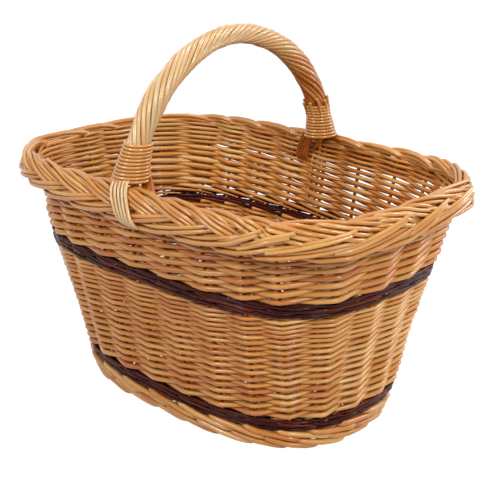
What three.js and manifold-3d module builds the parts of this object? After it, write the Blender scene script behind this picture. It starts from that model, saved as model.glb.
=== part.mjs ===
// Wicker shopping basket, built from willow rods: a woven base on slit bottom sticks, upright
// side stakes, bands of siding and waling worked round them, a three-strand plaited border,
// and a bow handle roped with thinner rods and bound at both feet.
//
// Millimetres, +Z up. X runs along the basket, Y across it, and the handle spans Y.
// The origin is the middle of the floor area that the foot stands on.
import * as THREE from 'three';
import { mergeVertices } from 'three/addons/utils/BufferGeometryUtils.js';
import Module from 'manifold-3d';

const manifold = await Module();
manifold.setup();

// Plan of the wall, measured to the middle of the weave at the floor and at the rim
const FOOT_HALF_LENGTH = 168;
const FOOT_HALF_WIDTH = 102;
const FOOT_SQUARENESS = 2.77;
const RIM_HALF_LENGTH = 224.5;
const RIM_HALF_WIDTH = 145.5;
const RIM_SQUARENESS = 3.95;
const RIM_HEIGHT = 243;
const END_HOLLOW = 7;

// Side stakes: where the first seven stand, as shares of a quarter of the plan's outline
const STAKE_SHARES_AT_FOOT = [0, 0.191, 0.37, 0.525, 0.664, 0.784, 0.913];
const STAKE_SHARES_AT_RIM = [0, 0.15, 0.306, 0.44, 0.541, 0.73, 0.933];
const STAKE_RADIUS = 2.2;
const STAKE_SIDES = 5;
const STAKE_TOE_HEIGHT = 8;
const STAKE_TOE_LENGTH = 15;

// Woven wall: half its thickness where rods cross between stakes, and how far they bulge at one
const WALE_HALF_THICKNESS = 4;
const WALE_BULGE = 2;
const SIDING_HALF_THICKNESS = 3.2;
const SIDING_BULGE = 4.4;
const COLUMNS_PER_STAKE = 3;

// Heights of the worked bands, from the floor up
const FOOT_WALE_HEIGHT = 20;
const LOWER_BAND_HEIGHT = 13;
const MAIN_SIDING_HEIGHT = 112.5;
const UPPER_BAND_HEIGHT = 15;
const FOOT_WALE_EDGE_ROUNDING = 5;
const FOOT_WALE_STEP = 1.2;
const DARK_WALE_STEP = 0.6;

// Base
const BASE_BOTTOM = 2.8;
const BASE_THICKNESS = 10.4;
const CROSS_STICK_RADIUS = 3.5;
const CROSS_STICK_COUNT = 6;
const CROSS_STICK_SPACING = 40;
const LONG_STICK_COUNT = 3;
const LONG_STICK_WIDTH = 5.6;
const LONG_STICK_THICKNESS = 2.8;
const LONG_STICK_SPACING = 6.2;
const STICK_END_MARGIN = 3;

// Plaited border
const PLAIT_INNER_EDGE = -3.4;
const PLAIT_OUTER_EDGE = 5.2;
const PLAIT_DROP = 27;
const PLAIT_STRANDS = 3;
const STRAND_WIDTH = 10;
const STRAND_THICKNESS = 3.2;
const STRAND_LIFT = 4.2;
const STEPS_PER_STAKE = 3;

// Bow handle, standing across the middle of the basket, each foot just inside the rim
const HANDLE_INSET = 15.2;
const HANDLE_APEX_HEIGHT = 366;
const HANDLE_FULLNESS = 1.91;
const BOW_RADIUS = 5.2;
const BOW_TIP_RADIUS = 2.8;
const BOW_TIP_HEIGHT = 166;
const BOW_TAPER_HEIGHT = 200;
const BOW_LEG_SETBACK = 5.5;
const ROPING_RODS = 14;
const ROPING_NECK_RADIUS = 10;
const ROPING_LEG_RADIUS = 12.2;
const ROPING_APEX_RADIUS = 8.6;
const ROPING_GROOVE = 1.3;
const ROPING_LAY_LENGTH = 175;
const ROPING_SHOULDER = 3;

// Bindings round the feet of the handle
const BINDING_HEIGHT = 35;
const BINDING_WRAPS = 11;
const BINDING_ROD = 3.2;
const BINDING_FLARE = 3.6;

// Tails of the roping rods, laid side by side
const TAIL_WIDTH = 18;
const TAIL_THICKNESS = 3.2;
const OUTER_TAIL_LEAN = 19;
const INNER_TAIL_LEAN = 19;
const INNER_TAIL_DROP = 27;

// Clearance between touching pieces, and how far from flat a face may be
const GAP = 0.3;
const FLATNESS = 0.05;

const STAKES = 4 * (STAKE_SHARES_AT_FOOT.length - 1) + 2;
const LOWER_BAND_BOTTOM = FOOT_WALE_HEIGHT + GAP;
const MAIN_SIDING_BOTTOM = LOWER_BAND_BOTTOM + LOWER_BAND_HEIGHT + GAP;
const UPPER_BAND_BOTTOM = MAIN_SIDING_BOTTOM + MAIN_SIDING_HEIGHT + GAP;
const UPPER_SIDING_BOTTOM = UPPER_BAND_BOTTOM + UPPER_BAND_HEIGHT + GAP;
const BASE_MIDDLE = BASE_BOTTOM + BASE_THICKNESS / 2;
const HANDLE_HALF_SPAN = RIM_HALF_WIDTH - HANDLE_INSET;
const HANDLE_SPRING_HEIGHT = RIM_HEIGHT + TAIL_THICKNESS + 3 * GAP;
const BINDING_TOP = HANDLE_SPRING_HEIGHT + BINDING_HEIGHT;

// Materials

function willow(color, roughness) {
  return new THREE.MeshStandardMaterial({ color, roughness, metalness: 0 });
}

const buffWillow = willow(0xb9813f, 0.5);
const innerWillow = willow(0xa56a34, 0.55);
const darkWillow = willow(0x321512, 0.4);
const paleWillow = willow(0xcf9d5a, 0.42);
const stickWillow = willow(0x9c7040, 0.6);

// Solids

/** Closed surface through rings of equal length; `loop` joins the last ring to the first. */
function skin(rings, loop = false) {
  const count = rings[0].length;
  const points = rings.flat();
  const index = [];
  const spans = loop ? rings.length : rings.length - 1;
  for (let i = 0; i < spans; i++) {
    const here = i * count;
    const next = ((i + 1) % rings.length) * count;
    for (let k = 0; k < count; k++) {
      const m = (k + 1) % count;
      index.push(here + k, here + m, next + m, here + k, next + m, next + k);
    }
  }
  if (!loop) {
    capEnd(points, index, 0, count, true);
    capEnd(points, index, (rings.length - 1) * count, count, false);
  }
  return outward(points, index);
}

function capEnd(points, index, start, count, reversed) {
  const middle = new THREE.Vector3();
  for (let k = 0; k < count; k++) middle.addScaledVector(points[start + k], 1 / count);
  const hub = points.push(middle) - 1;
  for (let k = 0; k < count; k++) {
    const m = (k + 1) % count;
    if (reversed) index.push(hub, start + m, start + k);
    else index.push(hub, start + k, start + m);
  }
}

/** Geometry whose faces are turned outward, whichever way its rings ran. */
function outward(points, index) {
  let volume = 0;
  const cross = new THREE.Vector3();
  for (let i = 0; i < index.length; i += 3) {
    const [a, b, c] = [points[index[i]], points[index[i + 1]], points[index[i + 2]]];
    volume += a.dot(cross.crossVectors(b, c));
  }
  if (volume < 0) {
    for (let i = 0; i < index.length; i += 3) {
      [index[i + 1], index[i + 2]] = [index[i + 2], index[i + 1]];
    }
  }
  const geometry = new THREE.BufferGeometry();
  geometry.setAttribute('position', new THREE.Float32BufferAttribute(points.flatMap((p) => p.toArray()), 3));
  geometry.setIndex(index);
  return geometry;
}

function toSolid(geometry) {
  const bare = geometry.clone();
  bare.deleteAttribute('normal');
  bare.deleteAttribute('uv');
  const merged = mergeVertices(bare, 1e-4);
  return new manifold.Manifold(new manifold.Mesh({
    numProp: 3,
    vertProperties: new Float32Array(merged.attributes.position.array),
    triVerts: new Uint32Array(merged.index.array),
  }));
}

function toGeometry(solid) {
  const mesh = solid.getMesh();
  const geometry = new THREE.BufferGeometry();
  geometry.setAttribute('position', new THREE.BufferAttribute(new Float32Array(mesh.vertProperties), 3));
  geometry.setIndex(new THREE.BufferAttribute(new Uint32Array(mesh.triVerts), 1));
  return geometry;
}

/** The first geometry with room cut in it for each of the others, in as few faces as will do. */
function fitted(geometry, cutters) {
  const whole = toSolid(geometry);
  const cut = cutters.reduce((solid, cutter) => solid.subtract(toSolid(cutter)), whole);
  return toGeometry(cut.asOriginal().simplify(FLATNESS));
}

/** Ring of points round a centre in the plane of two directions; `radiusOf` may vary round it. */
function ringAt(centre, first, second, radiusOf, sides, turn = 0) {
  const ring = [];
  for (let k = 0; k < sides; k++) {
    const angle = turn + (2 * Math.PI * k) / sides;
    const radius = radiusOf(angle, k);
    ring.push(centre.clone()
      .addScaledVector(first, radius * Math.cos(angle))
      .addScaledVector(second, radius * Math.sin(angle)));
  }
  return ring;
}

/** Corners of a flat rod or bundle's section, bevelled along both edges. */
function flatSection(width, thickness) {
  const half = width / 2;
  const flat = half - thickness / 2;
  const rise = thickness / 2;
  return [[half, 0], [flat, rise], [-flat, rise], [-half, 0], [-flat, -rise], [flat, -rise]];
}

const ALONG_X = new THREE.Vector3(1, 0, 0);

// Plan outline

function mix(a, b, t) {
  return a + (b - a) * t;
}

/** Half length, half width and squareness of the wall's middle at a height. */
function planAt(height) {
  const t = height / RIM_HEIGHT;
  return {
    halfLength: mix(FOOT_HALF_LENGTH, RIM_HALF_LENGTH, t) - END_HOLLOW * 4 * t * (1 - t),
    halfWidth: mix(FOOT_HALF_WIDTH, RIM_HALF_WIDTH, t),
    squareness: mix(FOOT_SQUARENESS, RIM_SQUARENESS, t),
  };
}

/** Point of the superellipse quarter from mid-side (angle 0) to mid-end (quarter turn). */
function quarterPoint(plan, angle) {
  return new THREE.Vector2(
    plan.halfLength * Math.sin(angle) ** (2 / plan.squareness),
    plan.halfWidth * Math.cos(angle) ** (2 / plan.squareness),
  );
}

const QUARTER_STEPS = 400;
const quarterTables = new Map();

/** Outline points and running lengths of one quarter at a height, worked out once. */
function quarterTable(height) {
  const key = height.toFixed(3);
  if (!quarterTables.has(key)) {
    const plan = planAt(height);
    const points = [quarterPoint(plan, 0)];
    const lengths = [0];
    for (let i = 1; i <= QUARTER_STEPS; i++) {
      const point = quarterPoint(plan, Math.min((i / QUARTER_STEPS) * (Math.PI / 2), Math.PI / 2));
      lengths.push(lengths[i - 1] + point.distanceTo(points[i - 1]));
      points.push(point);
    }
    quarterTables.set(key, { points, lengths });
  }
  return quarterTables.get(key);
}

function pointAtShare(height, share) {
  const { points, lengths } = quarterTable(height);
  const target = THREE.MathUtils.clamp(share, 0, 1) * lengths[QUARTER_STEPS];
  let i = 1;
  while (i < QUARTER_STEPS && lengths[i] < target) i++;
  const part = (target - lengths[i - 1]) / (lengths[i] - lengths[i - 1] || 1);
  return points[i - 1].clone().lerp(points[i], part);
}

/** Share of a quarter outline for a place counted in stakes from mid-side to mid-end. */
function shareOfPlace(height, place) {
  const t = height / RIM_HEIGHT;
  const shares = STAKE_SHARES_AT_FOOT.map((share, i) => mix(share, STAKE_SHARES_AT_RIM[i], t));
  shares.push(2 - shares[shares.length - 1]);
  const i = Math.min(Math.floor(place), shares.length - 2);
  return mix(shares[i], shares[i + 1], place - i);
}

/** Point on the wall's middle; place counts stakes anticlockwise from the middle of the -Y side. */
function middleOfWall(place, height) {
  const half = STAKES / 2;
  const round = ((place % STAKES) + STAKES) % STAKES;
  const halfTurn = round >= half;
  const along = halfTurn ? round - half : round;
  const returning = along > half / 2;
  const share = shareOfPlace(height, returning ? half - along : along);
  const corner = pointAtShare(height, share);
  const x = corner.x;
  const y = returning ? corner.y : -corner.y;
  return new THREE.Vector3(halfTurn ? -x : x, halfTurn ? -y : y, height);
}

/** Horizontal directions at a place on the wall: along it and out of it. */
function wallDirections(place, height) {
  const step = 0.02;
  const along = middleOfWall(place + step, height).sub(middleOfWall(place - step, height)).normalize();
  return { along, out: new THREE.Vector3(along.y, -along.x, 0) };
}

function wallPoint(place, height, offset) {
  return middleOfWall(place, height).addScaledVector(wallDirections(place, height).out, offset);
}

/** Half thickness of the weave: full at each stake, thin where rods cross between two. */
function ribbed(halfThickness, bulge, place) {
  return halfThickness + bulge * Math.cos(Math.PI * place) ** 2;
}

function waleOffset(place) {
  return ribbed(WALE_HALF_THICKNESS, WALE_BULGE, place);
}

function sidingOffset(place) {
  return ribbed(SIDING_HALF_THICKNESS, SIDING_BULGE, place);
}

// Side stakes

/** Rings of a stake: a toe lying in the edge of the base, a bend, and a leg up through the bands. */
function stakeRings(number, top, radius, sides, turn, overrun) {
  const up = new THREE.Vector3(0, 0, 1);
  const down = up.clone().negate();
  const rings = [];
  const addRing = (point, second) => {
    const { along } = wallDirections(number, point.z);
    rings.push(ringAt(point, along, second, () => radius, sides, turn));
  };
  const { out } = wallDirections(number, STAKE_TOE_HEIGHT);
  addRing(wallPoint(number, STAKE_TOE_HEIGHT, -STAKE_TOE_LENGTH - overrun), down);
  addRing(middleOfWall(number, STAKE_TOE_HEIGHT), out.clone().sub(up));
  const levels = [MAIN_SIDING_BOTTOM - GAP / 2, UPPER_BAND_BOTTOM - GAP / 2, top];
  const leg = levels.map((level) => middleOfWall(number, level));
  leg[2].addScaledVector(leg[2].clone().sub(leg[1]).normalize(), overrun);
  for (const point of leg) addRing(point, wallDirections(number, point.z).out);
  return rings;
}

function stake(number) {
  return skin(stakeRings(number, stakeTop(number), STAKE_RADIUS, STAKE_SIDES, 0, 0));
}

/** Square room for a stake, running out past the end of its toe and its top. */
function stakeRoom(number) {
  const corner = (STAKE_RADIUS + GAP) * Math.SQRT2;
  const overrun = 12;
  const rings = stakeRings(number, stakeTop(number), corner, 4, Math.PI / 4, overrun);
  const toe = wallPoint(number, STAKE_TOE_HEIGHT, -STAKE_TOE_LENGTH - GAP);
  const excess = toe.clone().sub(wallPoint(number, STAKE_TOE_HEIGHT, -STAKE_TOE_LENGTH - overrun));
  rings[0].forEach((point) => point.add(excess));
  return skin(rings);
}

function stakeTop(number) {
  return underPlait(number, STAKE_RADIUS);
}

// Bands of weave

/** Band of weave round the whole wall; `section` lists its corners at a place as [offset, height]. */
function weaveBand(section, cutters) {
  const rings = [];
  for (let i = 0; i < STAKES * COLUMNS_PER_STAKE; i++) {
    const place = i / COLUMNS_PER_STAKE;
    rings.push(section(place).map(([offset, height]) => wallPoint(place, height, offset)));
  }
  return fitted(skin(rings, true), cutters);
}

function footWale(cutters) {
  return weaveBand((place) => {
    const half = waleOffset(place);
    return [
      [half + FOOT_WALE_STEP - FOOT_WALE_EDGE_ROUNDING / 2, 0],
      [half + FOOT_WALE_STEP, FOOT_WALE_EDGE_ROUNDING],
      [half, FOOT_WALE_HEIGHT],
      [-WALE_HALF_THICKNESS, FOOT_WALE_HEIGHT],
      [-WALE_HALF_THICKNESS, 0],
    ];
  }, cutters);
}

function darkWale(bottom, height, cutters) {
  return weaveBand((place) => {
    const half = waleOffset(place) + DARK_WALE_STEP;
    return [[half, bottom], [half, bottom + height], [-half, bottom + height], [-half, bottom]];
  }, cutters);
}

function mainSiding(cutters) {
  const top = MAIN_SIDING_BOTTOM + MAIN_SIDING_HEIGHT;
  return weaveBand((place) => {
    const half = sidingOffset(place);
    return [[half, MAIN_SIDING_BOTTOM], [half, top], [-half, top], [-half, MAIN_SIDING_BOTTOM]];
  }, cutters);
}

/** The upper siding ends in a bevel that the plaited border lies on. */
function upperSiding(cutters) {
  return weaveBand((place) => {
    const half = sidingOffset(place);
    return [
      [half, UPPER_SIDING_BOTTOM],
      [half, underPlait(place, half)],
      [-half, underPlait(place, -half)],
      [-half, UPPER_SIDING_BOTTOM],
    ];
  }, cutters);
}

// Plaited border

/** Middle, directions and width of the border's slanting face at a place. */
function plaitFrame(place) {
  const inner = wallPoint(place, RIM_HEIGHT, PLAIT_INNER_EDGE);
  const outer = wallPoint(place, RIM_HEIGHT, PLAIT_OUTER_EDGE);
  outer.z -= PLAIT_DROP;
  const { along } = wallDirections(place, RIM_HEIGHT);
  const inward = inner.clone().sub(outer);
  const width = inward.length();
  inward.normalize();
  const face = inward.clone().cross(along).negate().normalize();
  return { middle: inner.add(outer).multiplyScalar(0.5), inward, face, width };
}

/** Height at which a line at an offset from the wall's middle meets the border's underside. */
function underPlait(place, offset) {
  const { middle, face } = plaitFrame(place);
  const reach = STRAND_LIFT + STRAND_THICKNESS / 2 + GAP;
  let low = UPPER_SIDING_BOTTOM;
  let high = RIM_HEIGHT;
  for (let i = 0; i < 30; i++) {
    const height = (low + high) / 2;
    const distance = wallPoint(place, height, offset).sub(middle).dot(face);
    if (distance < -reach) low = height;
    else high = height;
  }
  return low;
}

/** Path of the plaiting strand: it swings edge to edge, over one strand and under the next. */
function strandPoint(place) {
  const { middle, inward, face, width } = plaitFrame(place);
  const swing = (2 * Math.PI * place) / PLAIT_STRANDS;
  const across = ((width - STRAND_WIDTH) / 2) * Math.cos(swing);
  return middle.addScaledVector(inward, across).addScaledVector(face, STRAND_LIFT * Math.sin(2 * swing));
}

/** One strand goes round once for each strand of the plait before it meets its own start. */
function plaitedBorder() {
  const rings = [];
  const section = flatSection(STRAND_WIDTH, STRAND_THICKNESS);
  for (let i = 0; i < STAKES * PLAIT_STRANDS * STEPS_PER_STAKE; i++) {
    const place = i / STEPS_PER_STAKE;
    const step = 0.05;
    const along = strandPoint(place + step).sub(strandPoint(place - step)).normalize();
    const { face } = plaitFrame(place);
    const sideways = face.clone().cross(along).normalize();
    const up = along.clone().cross(sideways);
    rings.push(section.map(([side, rise]) => strandPoint(place)
      .addScaledVector(sideways, side)
      .addScaledVector(up, rise)));
  }
  return skin(rings, true);
}

// Base

function baseWeave(cutters) {
  const rings = [BASE_BOTTOM, BASE_BOTTOM + BASE_THICKNESS].map((height) => {
    const ring = [];
    for (let i = 0; i < STAKES * COLUMNS_PER_STAKE; i++) {
      ring.push(wallPoint(i / COLUMNS_PER_STAKE, height, -WALE_HALF_THICKNESS - GAP));
    }
    return ring;
  });
  return fitted(skin(rings), cutters);
}

/** Half width of the base weave at a distance along the basket. */
function baseHalfWidth(x) {
  const { halfLength, halfWidth, squareness } = planAt(BASE_MIDDLE);
  const edge = WALE_HALF_THICKNESS + GAP;
  return (halfWidth - edge) * (1 - (x / (halfLength - edge)) ** squareness) ** (1 / squareness);
}

function crossStick(x, clearance = 0) {
  const reach = baseHalfWidth(Math.abs(x)) + stickEnd(clearance);
  const up = new THREE.Vector3(0, 0, 1);
  const round = skin([-reach, reach].map((y) => (
    ringAt(new THREE.Vector3(x, y, BASE_MIDDLE), ALONG_X, up, () => CROSS_STICK_RADIUS + clearance, 8))));
  return clearance ? round : fitted(round, [longStickRoom()]);
}

/** Sticks stop short of the edge of the weave, while the room cut for them runs out through it. */
function stickEnd(clearance) {
  return clearance ? STICK_END_MARGIN : -STICK_END_MARGIN;
}

/** The long sticks lie side by side in one slot, through the weave and the slit cross sticks. */
function longStickRoom() {
  const length = 2 * (planAt(BASE_MIDDLE).halfLength + STICK_END_MARGIN);
  const width = (LONG_STICK_COUNT - 1) * LONG_STICK_SPACING + LONG_STICK_WIDTH + 2 * GAP;
  return new THREE.BoxGeometry(length, width, LONG_STICK_THICKNESS + 2 * GAP).translate(0, 0, BASE_MIDDLE);
}

function longStick(number) {
  const y = (number - (LONG_STICK_COUNT - 1) / 2) * LONG_STICK_SPACING;
  const reach = planAt(BASE_MIDDLE).halfLength - WALE_HALF_THICKNESS - GAP - STICK_END_MARGIN;
  const section = flatSection(LONG_STICK_WIDTH, LONG_STICK_THICKNESS);
  const rings = [-reach, reach].map((x) => section.map(([side, rise]) => (
    new THREE.Vector3(x, y + side, BASE_MIDDLE + rise))));
  return skin(rings);
}

// Bow handle

/** Bow's centre line at an angle up its arch, from 0 at the spring to a quarter turn at the apex. */
function archPoint(side, angle) {
  const power = 2 / HANDLE_FULLNESS;
  return new THREE.Vector3(
    0,
    side * HANDLE_HALF_SPAN * Math.max(Math.cos(angle), 0) ** power,
    mix(HANDLE_SPRING_HEIGHT, HANDLE_APEX_HEIGHT, Math.sin(angle) ** power),
  );
}

function archAngle(height) {
  const rise = (height - HANDLE_SPRING_HEIGHT) / (HANDLE_APEX_HEIGHT - HANDLE_SPRING_HEIGHT);
  return Math.asin(rise ** (HANDLE_FULLNESS / 2));
}

/** Place on the bow with the directions square to it: `across` its plane and `away` from its middle. */
function archFrame(side, angle) {
  const step = 0.01;
  const ahead = archPoint(side, Math.min(angle + step, Math.PI / 2));
  const behind = archPoint(side, Math.max(angle - step, 0));
  const along = angle < step ? new THREE.Vector3(0, 0, 1) : ahead.sub(behind).normalize();
  return { point: archPoint(side, angle), away: along.cross(ALONG_X).multiplyScalar(side) };
}

/** Frames up one side of the arch: three through the binding, one at the shoulder, then even steps. */
function archFrames(side) {
  const shoulder = archAngle(BINDING_TOP + ROPING_SHOULDER);
  const middle = (HANDLE_SPRING_HEIGHT + BINDING_TOP) / 2;
  const angles = [0, archAngle(middle), archAngle(BINDING_TOP), shoulder];
  const steps = 8;
  for (let i = 1; i <= steps; i++) angles.push(mix(shoulder, Math.PI / 2, i / steps));
  return angles.map((angle) => archFrame(side, angle));
}

/** Frames over the whole arch, from the spring at -Y to the spring at +Y. */
function wholeArch() {
  return [...archFrames(-1), ...archFrames(1).slice(0, -1).reverse()];
}

/** Frames down a leg, which runs inside the wall and leans on it lower down. */
function legFrames(side, overrun) {
  const heights = [BOW_TAPER_HEIGHT, BOW_TIP_HEIGHT - overrun];
  return heights.map((height) => {
    const reach = Math.min(HANDLE_HALF_SPAN, planAt(height).halfWidth - BOW_LEG_SETBACK);
    return { point: new THREE.Vector3(0, side * reach, height), away: new THREE.Vector3(0, side, 0) };
  });
}

function bow(clearance = 0) {
  const near = legFrames(-1, clearance).reverse();
  const frames = [...near, ...wholeArch(), ...legFrames(1, clearance)];
  return skin(frames.map(({ point, away }, i) => {
    const isTip = i === 0 || i === frames.length - 1;
    const radius = (isTip ? BOW_TIP_RADIUS : BOW_RADIUS) + clearance;
    return ringAt(point, ALONG_X, away, () => radius, 6);
  }));
}

/** Radius of the roping: pulled in under a binding, full on the legs, slim at the apex. */
function ropingRadius(height) {
  const shoulder = BINDING_TOP + ROPING_SHOULDER;
  if (height < shoulder - GAP) return ROPING_NECK_RADIUS;
  return mix(ROPING_LEG_RADIUS, ROPING_APEX_RADIUS, (height - shoulder) / (HANDLE_APEX_HEIGHT - shoulder));
}

function roping() {
  const frames = wholeArch();
  let distance = 0;
  const rings = frames.map(({ point, away }, i) => {
    if (i > 0) distance += point.distanceTo(frames[i - 1].point);
    const turn = (2 * Math.PI * distance) / ROPING_LAY_LENGTH;
    const radius = ropingRadius(point.z);
    return ringAt(point, ALONG_X, away, (_, k) => radius - (k % 2) * ROPING_GROOVE, 2 * ROPING_RODS, turn);
  });
  return fitted(skin(rings), [bow(GAP)]);
}

/** Wraps of rod round the foot of the handle, wider along the rim towards the bottom. */
function binding(side) {
  const rows = 2 * BINDING_WRAPS;
  const sides = 8;
  const bound = archFrames(side).slice(0, 3);
  const rings = [];
  for (let i = 0; i <= rows; i++) {
    const t = i / rows;
    const { point, away } = between(bound, t);
    const thickness = i % 2 ? BINDING_ROD : BINDING_ROD * 0.7;
    const flare = BINDING_FLARE * (1 - t) ** 2;
    const radiusOf = (angle) => ROPING_NECK_RADIUS + GAP + thickness + flare * Math.cos(angle) ** 2;
    rings.push(ringAt(point, ALONG_X, away, radiusOf, sides));
  }
  return fitted(skin(rings), [ropingRoom(bound)]);
}

/** Frame part of the way along three frames, where 0 is the first and 1 the last. */
function between(frames, t) {
  const i = t < 0.5 ? 0 : 1;
  const part = 2 * t - i;
  return {
    point: frames[i].point.clone().lerp(frames[i + 1].point, part),
    away: frames[i].away.clone().lerp(frames[i + 1].away, part).normalize(),
  };
}

/** Smooth room for the bound stretch of the roping, running out past both ends. */
function ropingRoom(bound) {
  const sides = 10;
  const radius = (ROPING_NECK_RADIUS + GAP) / Math.cos(Math.PI / sides);
  const margin = 2;
  const rings = bound.map(({ point, away }, i) => {
    const along = bound[Math.min(i + 1, 2)].point.clone().sub(bound[Math.max(i - 1, 0)].point).normalize();
    const shifted = point.clone().addScaledVector(along, (i - 1) * margin);
    return ringAt(shifted, ALONG_X, away, () => radius, sides);
  });
  return skin(rings);
}

// Tails of the roping rods

/** Flat bundle of rods through points, with its width along the rim. */
function tail(points) {
  const curve = new THREE.CatmullRomCurve3(points);
  const steps = 9;
  const section = flatSection(TAIL_WIDTH, TAIL_THICKNESS);
  const rings = [];
  for (let i = 0; i <= steps; i++) {
    const centre = curve.getPoint(i / steps);
    const along = curve.getTangent(i / steps);
    const up = ALONG_X.clone().cross(along).normalize();
    const side = along.clone().cross(up);
    rings.push(section.map(([across, rise]) => centre.clone()
      .addScaledVector(side, across)
      .addScaledVector(up, rise)));
  }
  return skin(rings);
}

/** Outer tail: out from under the binding, over the border, down its face and tucked in below it. */
function outerTail(side) {
  const { middle, inward, face, width } = plaitFrame(side < 0 ? 0 : STAKES / 2);
  const clear = STRAND_LIFT + (STRAND_THICKNESS + TAIL_THICKNESS) / 2 + GAP;
  const height = HANDLE_SPRING_HEIGHT - GAP - TAIL_THICKNESS / 2;
  const shift = (part) => -side * OUTER_TAIL_LEAN * (part - 0.37);
  const reach = HANDLE_HALF_SPAN + BOW_RADIUS + GAP;
  const start = [0, 4.5].map((out) => new THREE.Vector3(shift(0), side * (reach + out), height));
  const onFace = (across, away, part) => middle.clone()
    .addScaledVector(inward, across * width)
    .addScaledVector(face, away)
    .setX(shift(part));
  return tail([
    ...start,
    onFace(0.46, clear, 0.25),
    onFace(0.25, clear, 0.4),
    onFace(-0.1, clear, 0.6),
    onFace(-0.45, clear, 0.8),
    onFace(-0.66, clear / 2, 0.93),
    onFace(-0.7, -clear / 3, 1),
  ]);
}

/** Inner tail: down the inside of the leg and across to the wall beside it. */
function innerTail(side) {
  const leg = HANDLE_HALF_SPAN - BOW_RADIUS - TAIL_THICKNESS / 2 - GAP;
  const top = HANDLE_SPRING_HEIGHT - TAIL_THICKNESS;
  const thickness = SIDING_HALF_THICKNESS + SIDING_BULGE + TAIL_THICKNESS + GAP;
  const wall = planAt(top - INNER_TAIL_DROP).halfWidth - thickness;
  const stretch = [[0, 0, 0], [0, 0.3, 0], [0.5, 0.6, 0.15], [0.85, 0.8, 0.7], [1, 1, 1]];
  return tail(stretch.map(([leaned, dropped, crossed]) => new THREE.Vector3(
    -side * (TAIL_THICKNESS + INNER_TAIL_LEAN * leaned),
    side * mix(leg, wall, crossed),
    top - INNER_TAIL_DROP * dropped,
  )));
}

// Assembly

const basket = new THREE.Group();

function add(name, geometry, material) {
  const mesh = new THREE.Mesh(geometry, material);
  mesh.name = name;
  basket.add(mesh);
}

const stakeRooms = Array.from({ length: STAKES }, (_, i) => stakeRoom(i));
const bowRoom = bow(GAP);
const crossStations = Array.from({ length: CROSS_STICK_COUNT }, (_, i) => (
  (i - (CROSS_STICK_COUNT - 1) / 2) * CROSS_STICK_SPACING));
const stickRooms = [longStickRoom(), ...crossStations.map((x) => crossStick(x, GAP))];

add('base_weave', baseWeave([...stickRooms, ...stakeRooms]), buffWillow);
crossStations.forEach((x, i) => add(`base_cross_stick_${i + 1}`, crossStick(x), stickWillow));
for (let i = 0; i < LONG_STICK_COUNT; i++) add(`base_long_stick_${i + 1}`, longStick(i), stickWillow);
for (let i = 0; i < STAKES; i++) {
  add(`side_stake_${String(i + 1).padStart(2, '0')}`, stake(i), stickWillow);
}
add('foot_wale', footWale(stakeRooms), buffWillow);
add('lower_dark_wale', darkWale(LOWER_BAND_BOTTOM, LOWER_BAND_HEIGHT, stakeRooms), darkWillow);
add('main_siding', mainSiding(stakeRooms), buffWillow);
add('upper_dark_wale', darkWale(UPPER_BAND_BOTTOM, UPPER_BAND_HEIGHT, stakeRooms), darkWillow);
add('upper_siding', upperSiding([...stakeRooms, bowRoom]), innerWillow);
add('plaited_border', plaitedBorder(), paleWillow);
add('handle_bow', bow(), stickWillow);
add('handle_roping', roping(), paleWillow);
for (const [end, side] of [['front', -1], ['back', 1]]) {
  add(`${end}_binding`, binding(side), buffWillow);
  add(`${end}_outer_tail`, outerTail(side), paleWillow);
  add(`${end}_inner_tail`, innerTail(side), innerWillow);
}

export default basket;
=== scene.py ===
# Looks of the wicker shopping basket: every willow rod of the weave, the border and the handle is a
# tube of its own. Lengths are millimetres until a mesh is made. Places round the wall are counted in
# stakes, anticlockwise: 0 is the middle of the near side, 6.5 that of the +X end, 13 that of the far
# side and 19.5 that of the -X end. A space is the distance from one stake to the next.
import math

import bpy
import numpy as np
from mathutils import Matrix, Vector

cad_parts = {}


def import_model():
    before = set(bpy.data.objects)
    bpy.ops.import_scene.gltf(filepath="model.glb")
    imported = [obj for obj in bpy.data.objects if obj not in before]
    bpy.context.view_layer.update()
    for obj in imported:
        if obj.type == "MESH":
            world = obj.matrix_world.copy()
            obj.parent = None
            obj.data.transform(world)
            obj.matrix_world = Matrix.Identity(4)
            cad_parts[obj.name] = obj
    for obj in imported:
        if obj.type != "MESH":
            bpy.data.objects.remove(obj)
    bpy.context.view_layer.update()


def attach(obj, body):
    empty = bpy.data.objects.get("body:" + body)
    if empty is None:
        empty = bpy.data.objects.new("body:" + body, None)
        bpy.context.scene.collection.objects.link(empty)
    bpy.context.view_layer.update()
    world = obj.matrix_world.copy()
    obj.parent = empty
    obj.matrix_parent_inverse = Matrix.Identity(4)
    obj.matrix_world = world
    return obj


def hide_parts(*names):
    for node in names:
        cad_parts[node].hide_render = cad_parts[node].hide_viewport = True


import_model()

MM = 0.001
X_AXIS, Y_AXIS, Z_AXIS = np.eye(3)
rng = np.random.default_rng(26)

# Plan of the wall, to the middle of the weave
FOOT_HALF_LENGTH = 168.0
FOOT_HALF_WIDTH = 102.0
FOOT_SQUARENESS = 2.77
RIM_HALF_LENGTH = 224.5
RIM_HALF_WIDTH = 145.5
RIM_SQUARENESS = 3.95
RIM_HEIGHT = 243.0
END_HOLLOW = 7.0
CHORD_SHARE = 0.5

# One corner and the one opposite it, where the wall lies further in under the border and at the foot,
# each by one depth on the +X side and another on the -X side
TUCKED_CORNER = 8.6
TUCKED_REACH = 1.9
CORNER_TUCKS = (1.5, 9.0)
CORNER_TUCK_BOTTOM = 150.0
CORNER_TUCK_RISE = 60.0
FOOT_TUCKS = (6.0, 1.0)
FOOT_TUCK_TOP = 36.0

# Stretches of the wall, as first place, last place, and the spaces over which each begins and ends
FAR_SIDE = (9.5, 22.5, 1.5)
THICK_MAIN_RODS = (9.5, 24.5, 1.5)
THICK_UPPER_RODS = (13.0, 25.0, 2.0)
FULL_OUTSIDE = (11.5, 24.0, 2.0)
SPARSE_BORDER = (2.5, 9.5, 1.0)

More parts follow.
